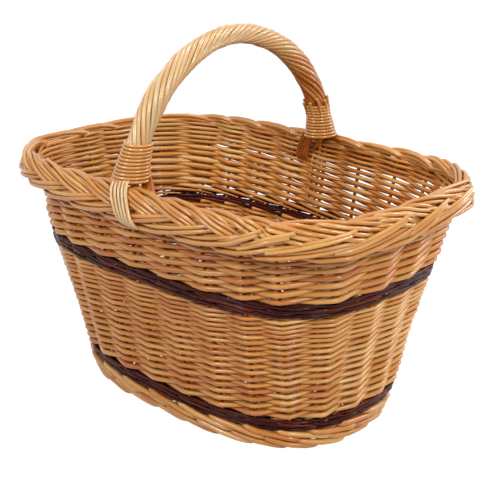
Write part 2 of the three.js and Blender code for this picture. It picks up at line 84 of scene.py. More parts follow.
# Side stakes, as shares of a quarter of the plan's outline from the middle of a long side
STAKE_SHARES_AT_FOOT = [0, 0.191, 0.37, 0.525, 0.664, 0.784, 0.913]
STAKE_SHARES_AT_RIM = [0, 0.15, 0.306, 0.44, 0.541, 0.73, 0.933]
STAKES = 26
STAKE_RADIUS = 2.2
STAKE_TAPER = 0.3
STAKE_FOOT = 6.0
STAKE_TOP = 236.0

# Room between a stake and the rods that bend round it, and how much more where an end curves most
CLEARANCE = 0.4
END_CLEARANCE = 1.6
END_PLACE = 6.3
END_REACH = 2.2

# Heights of the worked bands
FOOT_BOTTOM = 0.4
FOOT_TOP = 20.0
LOWER_BAND_TOP = 33.0
UPPER_BAND_BOTTOM = 146.0
UPPER_BAND_TOP = 161.0
UPPER_SIDING_TOP = 237.0
SIDING_GAP = 1.0

# Siding: by height, how far a rod climbs in two spaces, and the share of that which it fills. The butts
# of the upper rods reach back by UPPER_LEAD spaces and drop by LEAD_DROP of the climb in each
STEPS = 14
MAIN_PITCH = [(33, 8.3), (118, 6.3), (124, 5.1), (146, 4.8)]
MAIN_THICKNESS = [(33, 0.58), (112, 0.60), (124, 0.72), (146, 0.76)]
UPPER_PITCH = [(161, 6.6), (168, 8.6), (195, 7.8), (206, 6.2), (216, 5.4), (238, 4.8)]
UPPER_THICKNESS = 0.64
CROSSING_THICKNESS = 0.51
UPPER_LEAD = 1.4
LEAD_DROP = 0.75
SIDING_TONES = (0.2, 0.75)

# Paler patches of the siding, painted highlight where the lamps' sheen falls: place and reach in spaces,
# height where each fades out, and over how much
LOW_PATCH_PLACE, LOW_PATCH_REACH = 6.8, 2.2
LOW_PATCH_TOP, LOW_PATCH_FADE = 175.0, 40.0
HIGH_PATCH_PLACE, HIGH_PATCH_REACH = 17.5, 3.0
HIGH_PATCH_BOTTOM, HIGH_PATCH_FADE = 150.0, 20.0
HIGH_PATCH_SHARE = 0.7

# Waling, in shares of a rod's stroke of three spaces. Three doesn't divide 26, so the rods gain one
# space along a stretch at the back
WALE_RODS = 3
WALE_FRONT = 0.7
WALE_CROSSING = 0.13
WALE_SINKING = 0.68
WALE_STAGGER = 0.4
WALE_GAIN_START, WALE_GAIN_LENGTH = 15.0, 8.0
FOOT_ROD = 2.95
LOWER_BAND_ROD = 1.3
UPPER_BAND_ROD = 1.5

# Plaited border: a strand of four rods goes round five times, and every fifth stake finds it where it
# was: along the outer edge, up to the inner one, along that, and down over the others
PLAIT_PERIOD = 5
PLAIT_INNER_EDGE = -3.4
PLAIT_OUTER_EDGE = 7.0
PLAIT_DROP = 32.5
PLAIT_CORNER_INSET = 1.5
PLAIT_CORNER_RISE = 9.0
PLAIT_ROD = 2.0
PLAIT_LIFT = 4.8
PLAIT_PHASE = 0.4
PLAIT_STEPS = 18
# Share of the border's width from its inner edge, and height over its face, by stage of the period
PLAIT_ACROSS = [(0.0, 0.91), (0.5, 0.87), (0.9, 0.79), (1.4, 0.64), (1.8, 0.49), (2.2, 0.30), (2.5, 0.15),
                (2.8, 0.08), (3.15, 0.10), (3.5, 0.17), (3.8, 0.26), (4.15, 0.40), (4.55, 0.62), (4.8, 0.79)]
PLAIT_ABOVE = [(0.0, -0.6), (0.35, 0.1), (0.75, 0.6), (1.2, 0.9), (1.55, 0.6), (1.85, -0.2),
               (2.15, -0.8), (2.5, -0.8), (2.85, -0.3), (3.2, 0.4), (3.6, 1.0), (4.1, 1.0), (4.4, 0.3),
               (4.65, -0.5), (4.85, -0.8)]
# Stages of the slant and of the inner edge, and how much later both turn on the far side
SLANT_START, SLANT_END = 3.3, 4.95
INNER_START, INNER_END = 1.9, 3.9
FAR_DELAY = 0.3
STAGE_EASE, SLANT_END_EASE = 0.6, 0.35
# Where the four rods lie in the strand, in rod widths to the side and in rod radii above
SLANT_SIDES, SLANT_RISES = (-1.47, -0.48, 0.5, 1.5), (0.0, 0.15, 0.1, -0.1)
SPARSE_SIDES, SPARSE_RISES = (-1.1, 0.0, 1.1, 0.5), (0.0, 0.2, 0.1, -1.7)
OUTER_SIDES, OUTER_RISES = (-0.52, 0.52, 1.1, 0.0), (0.3, 0.4, -1.5, -1.6)
INNER_SIDES, INNER_RISES = (-0.52, 0.52, -0.4, 0.4), (0.6, 0.6, -1.3, -1.3)
# Shares that the far side keeps of the strand's dips and lifts and of the lower rods' depth
FAR_DIP_SHARE, FAR_LIFT_SHARE, FAR_DEPTH_SHARE = 0.35, 0.7, 0.3
# Where the near side's rods are thicker, and the share by which they and those of the far side are
BOLD_START, BOLD_END, BOLD_EASE = 21.0, 1.5, 1.5
BOLD_NEAR, BOLD_FAR = 0.06, 0.08

# Places where two rods end on top of the border, and how many others cross there
PLAIT_ENDS = [(3.45, 2), (4.0, 3), (4.75, 3), (5.65, 3), (6.9, 1), (7.6, 1)]
# The ends and the rods that cross them: start from the place and length in spaces, shares of the
# border's width, heights over its face, and how far each next rod lies along and across
END_START, END_LENGTH, END_STAGGER = -0.85, 1.1, 0.07
END_ACROSS, END_ABOVE, END_SPACING = (0.76, 0.36), (3.2, 9.6), 0.112
CROSSING_START, CROSSING_LENGTH, CROSSING_STAGGER = -0.4, 1.15, 0.05
CROSSING_ACROSS, CROSSING_ABOVE, CROSSING_SPACING = (0.17, 0.62), (-4.5, 7.2), 0.122

# Handle
HANDLE_HALF_SPAN = 130.3
HANDLE_SPRING = 247.1
HANDLE_APEX = 366.0
HANDLE_FULLNESS = (1.80, 1.95)
BOW_RADIUS = 5.0
ROPING_RODS = 13
ROPING_FOOT_RADIUS = 12.3
ROPING_APEX_RADIUS = 9.6
ROPING_NECK_RADIUS = 10.9
ROPING_NECK_LENGTH = 50.0
ROPING_LAY = 172.0
ROPING_EXTRA_TURNS = 0.5
ROPING_OVERRUN = 2.0
# Rods of each leg, as X at the handle and at their foot, their radius by height, and where they bend in
LEG_RODS = [(3.0, 7.0), (-3.0, 16.5)]
LEG_RADII = [(168, 1.9), (235, 2.1), (250, 2.8)]
LEG_FOOT = 168.0
LEG_BEND, LEG_BEND_LENGTH = 222.0, 22.0

# Bindings, by side: radius at the top, and how far the foot spreads all round and to one side
BINDING_FOOT = -2.6
BINDING_HEIGHT = 35.0
BINDING_WRAPS = 11
BINDING_ROD = 1.55
BINDING_RADII = {-1: 12.7, 1: 11.5}
BINDING_SPREADS = {-1: (2.2, 6.2), 1: (3.7, 2.5)}
CROWN_RODS = 9
CROWN_ROD = 1.7
CROWN_CLEARANCE = 0.9
CROWN_DEPTH = 12.0
CROWN_HEIGHTS = (3.0, 10.0)
CROWN_OPENINGS = (-0.3, 1.6)

# Tails at the feet of the handle. The outer ones start at a distance out and up from the spring of the
# handle and go on by share of the border's width, height over its face and X; the inner ones go by X
# and distances out and up from the spring
TAIL_RODS = 5
OUTER_TAIL_PITCH, OUTER_TAIL_ROD = 3.55, 1.7
OUTER_TAIL_START = (7.5, -3.5)
OUTER_TAIL = [(-0.10, 3.5, 0.6), (0.00, 7.0, 1.6), (0.16, 8.8, 3.6), (0.36, 9.2, 6.6), (0.58, 9.0, 11.0),
              (0.80, 7.8, 15.5), (0.95, 4.0, 19.0), (1.02, -1.5, 21.0)]
OUTER_TAIL_FAN = (0.95, 1.05, 1.25, 1.4, 1.45, 1.4, 1.3, 1.2, 1.1)
INNER_TAIL_PITCH, INNER_TAIL_ROD = 3.3, 1.65
INNER_TAIL = [(6.0, -8.0, 1.5), (10.0, -6.5, -2.0), (17.5, -2.0, -10.0), (23.5, 0.5, -19.0),
              (27.0, 2.0, -29.0), (28.0, 6.5, -35.0)]

# Base
BASE_MIDDLE = 8.0
BASE_MARGIN = 8.0
CROSS_STICKS = 6
CROSS_STICK_PITCH = 40.0
CROSS_STICK_RADIUS = 3.3
LONG_STICKS = 3
LONG_STICK_PITCH = 6.2
LONG_STICK_HALF_WIDTH, LONG_STICK_HALF_HEIGHT = 2.9, 1.5
BASE_ROD = 2.05
BASE_ROD_PITCH = 4.0
BASE_ROD_SWING = 4.4
BASE_EDGE_INSET = 6.0
BASE_CORE_HALF_WIDTH = 11.0
BASE_CORE_SQUARENESS = 2.2

# Studio, in metres, watts and degrees
FLOOR_REACH = 30.0
FLOOR_GREY = 0.6
FLOOR_WHITE = 1.32
FLOOR_WHITE_SHARE = 0.72
WORLD_LIGHT = 0.31
LAMP_TARGET = (0, 0, 0.16)
LAMPS = [
    ("right", (1.5, -0.4, 1.25), (0.45, 0.5), 21),
    ("left", (-0.3, -1.45, 1.3), (0.35, 0.5), 16),
    ("top", (-0.2, 0.15, 1.9), (0.35, 0.35), 10),
    ("back", (0.7, 1.4, 0.9), (0.5, 0.9), 13),
]
CAMERA_PLACE = (0.7416, -0.73608, 0.50245)
CAMERA_AZIMUTH, CAMERA_ELEVATION, CAMERA_ROLL = 44.37, 18.90, -0.13
CAMERA_LENS = 76.78
CAMERA_SENSOR = 36.0


# Plan outline

def mix(a, b, t):
    return a + (b - a) * t


def smooth(t):
    t = np.clip(t, 0, 1)
    return t * t * (3 - 2 * t)


def bell(distance, reach):
    return np.exp(-(distance / reach) ** 2)


def by_height(keys, height):
    """Reading of (height, value) keys."""
    return np.interp(height, *zip(*keys))


def plan_at(height):
    """Half length, half width and squareness of the wall's middle at a height."""
    t = height / RIM_HEIGHT
    half_length = mix(FOOT_HALF_LENGTH, RIM_HALF_LENGTH, t) - END_HOLLOW * 4 * t * (1 - t)
    half_width = mix(FOOT_HALF_WIDTH, RIM_HALF_WIDTH, t)
    return half_length, half_width, mix(FOOT_SQUARENESS, RIM_SQUARENESS, t)


TABLE_HEIGHTS = np.linspace(-6, 262, 68)
TABLE_SHARES = np.linspace(0, 1, 301)
TABLE_SAMPLES = 1501


def quarter_table():
    """Outline of a quarter of the plan by height and share of its length."""
    angle = np.linspace(0, math.pi / 2, TABLE_SAMPLES)
    table = np.empty((len(TABLE_HEIGHTS), len(TABLE_SHARES), 2))
    for i, height in enumerate(TABLE_HEIGHTS):
        half_length, half_width, squareness = plan_at(height)
        x = half_length * np.sin(angle) ** (2 / squareness)
        y = half_width * np.cos(angle) ** (2 / squareness)
        run = np.concatenate([[0], np.cumsum(np.hypot(np.diff(x), np.diff(y)))])
        target = TABLE_SHARES * run[-1]
        table[i, :, 0] = np.interp(target, run, x)
        table[i, :, 1] = np.interp(target, run, y)
    return table


QUARTERS = quarter_table()


def quarter_point(height, share):
    """Bilinear reading of the outline table."""
    just_over_one = 1.001
    height_step = TABLE_HEIGHTS[1] - TABLE_HEIGHTS[0]
    row = np.clip((height - TABLE_HEIGHTS[0]) / height_step, 0, len(TABLE_HEIGHTS) - just_over_one)
    column = np.clip(share, 0, 1) * (len(TABLE_SHARES) - just_over_one)
    i, k = row.astype(int), column.astype(int)
    u, v = (row - i)[..., None], (column - k)[..., None]
    low = QUARTERS[i, k] * (1 - v) + QUARTERS[i, k + 1] * v
    high = QUARTERS[i + 1, k] * (1 - v) + QUARTERS[i + 1, k + 1] * v
    return low * (1 - u) + high * u


SHARES_AT_FOOT = np.array(STAKE_SHARES_AT_FOOT + [2 - STAKE_SHARES_AT_FOOT[-1]])
SHARES_AT_RIM = np.array(STAKE_SHARES_AT_RIM + [2 - STAKE_SHARES_AT_RIM[-1]])


def curve_point(place, height):
    """Point on the smooth plan."""
    place, height = np.broadcast_arrays(np.asarray(place, float), np.asarray(height, float))
    half = STAKES / 2
    turned = np.mod(place, STAKES)
    far = turned >= half
    along = np.where(far, turned - half, turned)
    returning = along > half / 2
    quarter = np.where(returning, half - along, along)
    i = np.clip(quarter.astype(int), 0, len(SHARES_AT_FOOT) - 2)
    part = quarter - i
    t = height / RIM_HEIGHT
    before = mix(SHARES_AT_FOOT[i], SHARES_AT_RIM[i], t)
    after = mix(SHARES_AT_FOOT[i + 1], SHARES_AT_RIM[i + 1], t)
    corner = quarter_point(height, mix(before, after, part))
    x = corner[..., 0]
    y = np.where(returning, corner[..., 1], -corner[..., 1])
    sign = np.where(far, -1.0, 1.0)
    return np.stack([x * sign, y * sign, height], axis=-1)


def middle_of_wall(place, height):
    """The wall runs partly along the plan and partly straight from stake to stake."""
    place, height = np.broadcast_arrays(np.asarray(place, float), np.asarray(height, float))
    before = np.floor(place)
    part = (place - before)[..., None]
    chord = mix(curve_point(before, height), curve_point(before + 1, height), part)
    return mix(curve_point(place, height), chord, CHORD_SHARE)


def outward(place, height):
    step = 0.35
    along = curve_point(place + step, height) - curve_point(place - step, height)
    out = np.stack([along[..., 1], -along[..., 0], np.zeros_like(along[..., 0])], axis=-1)
    return out / np.linalg.norm(out, axis=-1, keepdims=True)


def wall(place, height, offset):
    """Point of the wall, `offset` outside its middle."""
    offset = np.asarray(offset, float)[..., None]
    return middle_of_wall(place, height) + outward(place, height) * offset


def from_nearest(place, middle):
    """Spaces from a place to the middle given or the one opposite it, whichever is nearer."""
    return np.mod(place - middle + STAKES / 4, STAKES / 2) - STAKES / 4


def stretch(place, start, end, ease):
    """1 along a stretch of the wall and 0 elsewhere."""
    around = np.mod(place, STAKES)
    return smooth((around - start) / ease) * smooth((end - around) / ease)


def at_corner(place):
    """1 at the two tucked corners and 0 away from them."""
    return bell(from_nearest(place, TUCKED_CORNER), TUCKED_REACH)


def tuck(place, height):
    """How far the wall's rods lie further in, as an offset."""
    right = np.mod(place, STAKES) < STAKES / 2
    above = np.where(right, *CORNER_TUCKS) * smooth((height - CORNER_TUCK_BOTTOM) / CORNER_TUCK_RISE)
    below = np.where(right, *FOOT_TUCKS) * smooth((FOOT_TUCK_TOP - height) / FOOT_TUCK_TOP)
    return -(above + below) * at_corner(place)


def clearance(place):
    return CLEARANCE + END_CLEARANCE * bell(from_nearest(place, END_PLACE), END_REACH)


# Rods

class Rods:
    """Rods that make up one woven piece, gathered into a single mesh."""

    def __init__(self):
        self.points, self.faces, self.grain, self.tone, self.cut = [], [], [], [], []
        self.size = 0

    def add(self, path, radius, across, tone, flat=None, closed=False, sides=8):
        """Tube along a path; `across` sets its first axis and `flat` its radius along the second."""
        path = np.asarray(path, float)
        count = len(path)
        radius = np.broadcast_to(np.asarray(radius, float), (count,))
        flat = radius if flat is None else np.broadcast_to(np.asarray(flat, float), (count,))
        across = np.broadcast_to(np.asarray(across, float), path.shape)
        if closed:
            along = np.roll(path, -1, axis=0) - np.roll(path, 1, axis=0)
        else:
            along = np.gradient(path, axis=0)
        along /= np.linalg.norm(along, axis=1, keepdims=True)
        first = across - along * np.sum(across * along, axis=1, keepdims=True)
        first /= np.linalg.norm(first, axis=1, keepdims=True)
        second = np.cross(along, first)
        angle = np.arange(sides) * 2 * math.pi / sides
        first_reach = radius[:, None] * np.cos(angle)
        second_reach = flat[:, None] * np.sin(angle)
        ring = path[:, None] + first[:, None] * first_reach[..., None]
        ring = ring + second[:, None] * second_reach[..., None]
        run = np.concatenate([[0], np.cumsum(np.linalg.norm(np.diff(path, axis=0), axis=1))])
        seed = rng.uniform(0, 5000)
        grain = np.empty((count, sides, 3))
        grain[..., 0] = (run + seed)[:, None]
        grain[..., 1] = first_reach
        grain[..., 2] = second_reach
        tones = np.broadcast_to(np.asarray(tone, float), (count,))
        start = self.size
        self._store(ring.reshape(-1, 3), grain.reshape(-1, 3), np.repeat(tones, sides), 0.0)
        row = np.arange(count if closed else count - 1)[:, None]
        here, there = row * sides, (row + 1) % count * sides
        k = np.arange(sides)[None]
        right = (k + 1) % sides
        quads = np.stack([here + k, here + right, there + right, there + k], axis=-1).reshape(-1, 4)
        self.faces.append(quads + start)
        if not closed:
            self._cap(ring[0][::-1], grain[0][::-1], -along[0], tones[0])
            self._cap(ring[-1], grain[-1], along[-1], tones[-1])

    def _store(self, points, grain, tone, cut):
        self.points.append(points)
        self.grain.append(grain)
        self.tone.append(np.broadcast_to(tone, (len(points),)))
        self.cut.append(np.full(len(points), cut))
        self.size += len(points)

    def _cap(self, ring, grain, along, tone):
        """Cut end of a rod, as a fan of quads onto a small inner ring."""
        sides = len(ring)
        inner_ring = mix(ring, ring.mean(axis=0), 0.96) + along * 0.15
        inner_grain = grain * [1, 0.1, 0.1]
        start = self.size
        self._store(np.concatenate([ring, inner_ring]), np.concatenate([grain, inner_grain]), tone, 1.0)
        k = np.arange(sides)
        right = (k + 1) % sides
        self.faces.append(np.stack([k, right, right + sides, k + sides], axis=-1) + start)

    def build(self, name, material, slot, nodes):
        points = np.concatenate(self.points) * MM
        faces = np.concatenate(self.faces)
        mesh = bpy.data.meshes.new(name)
        mesh.vertices.add(len(points))
        mesh.vertices.foreach_set("co", points.ravel())
        mesh.loops.add(faces.size)
        mesh.loops.foreach_set("vertex_index", faces.ravel().astype(np.int32))
        mesh.polygons.add(len(faces))
        mesh.polygons.foreach_set("loop_start", (np.arange(len(faces)) * 4).astype(np.int32))
        mesh.polygons.foreach_set("use_smooth", np.ones(len(faces), bool))
        for key, kind, field, values in (("grain", "FLOAT_VECTOR", "vector", self.grain),
                                         ("tone", "FLOAT", "value", self.tone),
                                         ("cut", "FLOAT", "value", self.cut)):
            layer = mesh.attributes.new(key, kind, "POINT")
            layer.data.foreach_set(field, np.concatenate(values).astype(np.float32).ravel())
        mesh.update()
        mesh.validate()
        piece = bpy.data.objects.new(name, mesh)
        bpy.context.scene.collection.objects.link(piece)
        mesh.materials.append(material)
        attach(piece, "root")
        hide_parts(*nodes)


def wander(count, step, size):
    """Slow random drift along a rod, in steps of so many samples."""
    knots = rng.normal(0, size, max(count // step, 1) + 3)
    return np.interp(np.arange(count) / step, np.arange(len(knots)), knots)


def periodic_wander(count, knots, size):
    """Random drift along a closed rod, with so many knots."""
    values = rng.normal(0, size, knots)
    return np.interp(np.arange(count) / count * knots, np.arange(knots + 1), np.append(values, values[0]))


# Materials

STREAK_SHADE, STREAK_AMOUNT = (0.62, 0.45, 0.3), 0.55
FINE_SHADE, FINE_AMOUNT = (0.75, 0.62, 0.5), 0.35
SPOT_SHADE, SPOT_AMOUNT = (0.3, 0.16, 0.1), 0.8
SPOT_CORE, SPOT_EDGE = 0.1, 0.16
CUT_COLOUR = (0.62, 0.43, 0.2)


def node(tree, kind, **values):
    made = tree.nodes.new(kind)
    for key, value in values.items():
        setattr(made, key, value)
    return made


def mapped(tree, value, from_range, to_range):
    """Value brought from one range to another."""
    made = node(tree, "ShaderNodeMapRange")
    made.inputs["From Min"].default_value, made.inputs["From Max"].default_value = from_range
    made.inputs["To Min"].default_value, made.inputs["To Max"].default_value = to_range
    tree.links.new(value, made.inputs["Value"])
    return made.outputs[0]


def scaled(tree, vector, scale):
    made = node(tree, "ShaderNodeVectorMath", operation="MULTIPLY")
    made.inputs[1].default_value = scale
    tree.links.new(vector, made.inputs[0])
    return made.outputs[0]


def noise(tree, vector, scale, detail, low=0.0, high=1.0):
    made = node(tree, "ShaderNodeTexNoise")
    made.inputs["Scale"].default_value = 1.0
    made.inputs["Detail"].default_value = detail
    tree.links.new(scaled(tree, vector, scale), made.inputs["Vector"])
    return mapped(tree, made.outputs["Fac"], (0.3, 0.7), (low, high))


def spots(tree, vector, scale):
    """1 in small spots and 0 between them."""
    made = node(tree, "ShaderNodeTexVoronoi", feature="F1")
    tree.links.new(scaled(tree, vector, scale), made.inputs["Vector"])
    return mapped(tree, made.outputs["Distance"], (SPOT_CORE, SPOT_EDGE), (1.0, 0.0))


def darkened(tree, color, factor, shade, amount):
    weight = node(tree, "ShaderNodeMath", operation="MULTIPLY")
    weight.inputs[1].default_value = amount
    tree.links.new(factor, weight.inputs[0])
    blend = node(tree, "ShaderNodeMix", data_type="RGBA", blend_type="MULTIPLY")
    blend.inputs["B"].default_value = (*shade, 1)
    tree.links.new(weight.outputs[0], blend.inputs["Factor"])
    tree.links.new(color, blend.inputs["A"])
    return blend.outputs["Result"]


def tone_ramp(tree, value, tones):
    ramp = node(tree, "ShaderNodeValToRGB")
    tree.links.new(value, ramp.inputs["Fac"])
    for i, color in enumerate(tones):
        place = i / (len(tones) - 1)
        stop = ramp.color_ramp.elements[i] if i < 2 else ramp.color_ramp.elements.new(place)
        stop.position = place
        stop.color = (*color, 1)
    return ramp.outputs["Color"]


def willow(name, tones, roughness, coat=0.25, gloss=0.5):
    """Peeled willow: `tones` are colours from the palest rods to the darkest."""
    material = bpy.data.materials.new(name)
    material.use_nodes = True
    tree = material.node_tree
    tree.nodes.clear()
    link = tree.links.new
    output = node(tree, "ShaderNodeOutputMaterial")
    shader = node(tree, "ShaderNodeBsdfPrincipled")
    grain = node(tree, "ShaderNodeAttribute", attribute_name="grain").outputs["Vector"]
    tone = node(tree, "ShaderNodeAttribute", attribute_name="tone")
    cut = node(tree, "ShaderNodeAttribute", attribute_name="cut")

    slow = noise(tree, grain, (0.018, 0.12, 0.12), 2.0, -0.22, 0.22)
    streaks = noise(tree, grain, (0.05, 1.3, 1.3), 3.0)
    fine = noise(tree, grain, (0.3, 5.0, 5.0), 2.0)
    total = node(tree, "ShaderNodeMath", operation="ADD")
    link(tone.outputs["Fac"], total.inputs[0])
    link(slow, total.inputs[1])
    color = tone_ramp(tree, total.outputs[0], tones)
    color = darkened(tree, color, streaks, STREAK_SHADE, STREAK_AMOUNT)
    color = darkened(tree, color, fine, FINE_SHADE, FINE_AMOUNT)
    color = darkened(tree, color, spots(tree, grain, (0.09, 0.3, 0.3)), SPOT_SHADE, SPOT_AMOUNT)

    ends = node(tree, "ShaderNodeMix", data_type="RGBA")
    ends.inputs["B"].default_value = (*CUT_COLOUR, 1)
    link(cut.outputs["Fac"], ends.inputs["Factor"])
    link(color, ends.inputs["A"])
    link(ends.outputs["Result"], shader.inputs["Base Color"])
    shine = mapped(tree, streaks, (0.0, 1.0), (roughness - 0.06, roughness + 0.14))
    link(shine, shader.inputs["Roughness"])
    shader.inputs["Coat Weight"].default_value = coat
    shader.inputs["Coat Roughness"].default_value = 0.12
    shader.inputs["Specular IOR Level"].default_value = gloss

    bump = node(tree, "ShaderNodeBump")
    bump.inputs["Strength"].default_value = 0.12
    bump.inputs["Distance"].default_value = 0.0003
    link(streaks, bump.inputs["Height"])
    link(bump.outputs["Normal"], shader.inputs["Normal"])
    link(shader.outputs["BSDF"], output.inputs["Surface"])
    return material


CREAM = (0.68, 0.51, 0.29)
HAY = (0.7, 0.47, 0.22)
PALE_STRAW = (0.71, 0.405, 0.13)
DULL_STRAW = (0.63, 0.355, 0.12)
GOLD = (0.68, 0.36, 0.10)
HONEY = (0.62, 0.276, 0.052)
CARAMEL = (0.58, 0.25, 0.045)
AMBER = (0.54, 0.188, 0.026)
COPPER = (0.51, 0.175, 0.022)
RUSSET = (0.44, 0.117, 0.013)
STAINED = [(0.15, 0.026, 0.011), (0.072, 0.009, 0.004), (0.028, 0.003, 0.001)]

buff = willow("buff_willow", [PALE_STRAW, HONEY, AMBER, RUSSET], 0.27, coat=0.08, gloss=0.45)
border_finish = willow("border_willow", [GOLD, CARAMEL, COPPER], 0.24, coat=0.15, gloss=0.6)
inner = willow("inner_willow", [HONEY, AMBER, RUSSET, RUSSET], 0.3, coat=0.1, gloss=0.4)
pale = willow("pale_willow", [CREAM, HAY, DULL_STRAW, AMBER, RUSSET], 0.26, coat=0.25, gloss=0.45)
stick = willow("stick_willow", [PALE_STRAW, HONEY, AMBER], 0.45)
dark = willow("dark_willow", STAINED, 0.18, coat=0.0, gloss=0.11)
bound = willow("binding_willow", [PALE_STRAW, HONEY, AMBER], 0.16, coat=0.5, gloss=0.5)


# Stakes

def stakes():
    rods = Rods()
    half_way = 120.0
    heights = np.linspace(STAKE_FOOT, STAKE_TOP, 40)
    radius = np.linspace(STAKE_RADIUS, STAKE_RADIUS - STAKE_TAPER, len(heights))
    for k in range(STAKES):
        place = np.full(len(heights), float(k))
        path = wall(place, heights, tuck(place, heights) + wander(len(heights), 8, 0.3))
        rods.add(path, radius, outward(float(k), half_way), tone=rng.uniform(0.4, 0.9))
    names = [f"side_stake_{k + 1:02d}" for k in range(STAKES)]
    rods.build("stakes", buff, "stick_willow", names)


# Siding

def fold(cosine, sharpness=0.985):
    """Turns a cosine into the path of a stiff rod, straight between stakes and bent at them."""
    return np.arcsin(sharpness * cosine) / math.asin(sharpness)


def painted_highlight(place, z):
    """Painted highlight: paler rods low on the +X end and, more faintly, high on the -X end."""
    around = np.mod(place, STAKES)
    low = bell(around - LOW_PATCH_PLACE, LOW_PATCH_REACH)
    low = low * smooth((LOW_PATCH_TOP - z) / LOW_PATCH_FADE)
    high = bell(around - HIGH_PATCH_PLACE, HIGH_PATCH_REACH)
    high = high * smooth((z - HIGH_PATCH_BOTTOM) / HIGH_PATCH_FADE)
    return low + HIGH_PATCH_SHARE * high


def main_thickness(place, z):
    return by_height(MAIN_THICKNESS, z) + 0.1 * stretch(place, *THICK_MAIN_RODS)


def upper_thickness(place, z):
    return UPPER_THICKNESS + 0.06 * stretch(place, *THICK_UPPER_RODS)


def fullness(place, swing, thickness):
    """Depth of a rod in the wall as a share of its height. `swing` is 1 inside the wall and -1 outside
    it: a rod is thinnest where it crosses between two stakes, and on the far side it is fuller outside."""
    crossing = (1 - np.abs(swing)) ** 1.5
    fuller_outside = 0.34 * stretch(place, *FULL_OUTSIDE) + 0.08 * smooth((np.mod(place, STAKES) - 9) / 2)
    kept = 1 - (1 - CROSSING_THICKNESS / thickness) * crossing
    return kept + fuller_outside * smooth((0.4 - swing) / 1.4) + 0.12 * smooth((swing - 0.2) / 0.8)


def siding(name, bottom, top, pitches, thickness_at, slot, node_name, lead):
    """French randing: a rod starts behind every stake and climbs, in front of one and behind the next.

    Its tapered butt reaches back inside the wall by `lead` spaces."""
    heights = np.linspace(bottom, top, 400)
    middles = (heights[1:] + heights[:-1]) / 2
    run = np.concatenate([[0], np.cumsum(np.diff(heights) * 2 / by_height(pitches, middles))])
    strokes = 2 * max(round(run[-1] / 2), 1)
    run *= strokes / run[-1]
    s = np.arange(-round(lead * STEPS), strokes * STEPS + 1) / STEPS
    count = len(s)
    level = np.interp(s, run, heights)
    pitch = by_height(pitches, level)
    level = level + np.minimum(s, 0) * pitch * LEAD_DROP
    swing = np.where(s < 0, 1.0, np.cos(math.pi * s))
    taper = 1 - 0.5 * np.clip(-s, 0, 1.4)
    from_ends = np.clip(s / 3, 0, 1) * np.clip((strokes - s) / 3, 0, 1)
    rods = Rods()
    for j in range(STAKES):
        place = j + s
        size = rng.normal(1, 0.05) * (1 + wander(count, 3 * STEPS, 0.04))
        thickness = thickness_at(place, level)
        depth = thickness * pitch / 2 * size * taper
        bend = 1 - 0.4 * at_corner(place)
        reach = (STAKE_RADIUS + clearance(place) + depth * 0.92) * bend
        offset = wander(count, STEPS, 0.25) - reach * fold(swing) + tuck(place, level)
        z = level + wander(count, STEPS, 0.3) * from_ends
        # The siding's tone is made paler by the painted highlight patches
        tone = rng.uniform(*SIDING_TONES) - 0.4 * painted_highlight(place, z)
        flat = depth * fullness(place, swing, thickness)
        rods.add(wall(place, z, offset), depth, outward(place, z), tone=tone, flat=flat)
    rods.build(name, buff, slot, [node_name])


# Waling

def wale(bottom, top, rounds, radius, tones, slack, ripple, inside_share=1.0, fall_share=0.8):
    """Rounds of three-rod waling: each rod lies over two stakes, sinking, and under the next."""
    rods = Rods()
    level = (top - bottom) / (2 * rounds)
    place = np.arange(STAKES * STEPS) / STEPS
    far = stretch(place, *FAR_SIDE)
    gained = place + smooth((place - WALE_GAIN_START) / WALE_GAIN_LENGTH)
    for turn in range(rounds):
        middle = bottom + level * (2 * turn + 1)
        for j in range(WALE_RODS):
            phase = np.mod((gained - j - turn * WALE_STAGGER) / WALE_RODS, 1)
            front = smooth(phase / WALE_CROSSING) * smooth((WALE_FRONT - phase) / WALE_CROSSING)
            thick = radius * rng.uniform(0.94, 1.06) * (1 + 0.2 * far)
            sinking = 1 - 2 * phase / WALE_SINKING
            rising = mix(-1.0, 1.0, smooth((phase - WALE_SINKING) / (1 - WALE_SINKING)))
            fall = np.where(phase < WALE_SINKING, sinking, rising)
            z = middle + fall * level * fall_share + periodic_wander(len(place), 40, slack)
            behind = bottom + (z - bottom) * mix(1.0, inside_share, far)
            z = mix(behind, z, front)
            offset = mix(-1.0, 1.0, front) * (STAKE_RADIUS * 0.9 + thick * 0.85)
            offset = offset + periodic_wander(len(place), 60, ripple) + tuck(place, z)
            tone = rng.uniform(*tones) + periodic_wander(len(place), 52, 0.12)
            path = wall(place, np.maximum(z, thick), offset)
            rods.add(path, thick, outward(place, z), tone=tone, flat=thick * 0.97, closed=True)
    return rods


# Border

def plait_frame(place):
    """Middle, inward and facing directions and width of the border's slanting face."""
    level = np.full_like(place, RIM_HEIGHT)
    out = outward(place, level)
    narrow = at_corner(place)
    inner_edge = wall(place, level, PLAIT_INNER_EDGE)
    outer_edge = wall(place, level, PLAIT_OUTER_EDGE - PLAIT_CORNER_INSET * narrow)
    outer_edge[:, 2] -= PLAIT_DROP - PLAIT_CORNER_RISE * narrow
    inward = inner_edge - outer_edge
    width = np.linalg.norm(inward, axis=1, keepdims=True)
    inward /= width
    along = np.stack([-out[:, 1], out[:, 0], out[:, 2]], axis=1)
    face = np.cross(along, inward)
    face /= np.linalg.norm(face, axis=1, keepdims=True)
    return (inner_edge + outer_edge) / 2, inward, face, width


def on_border(place, across, above):
    """Point of the border: across from 0 at the inner edge to 1 at the outer one, and above its face."""
    middle, inward, face, width = plait_frame(place)
    side = (0.5 - np.asarray(across, float))[:, None]
    return middle + inward * side * width + face * np.asarray(above, float)[:, None]


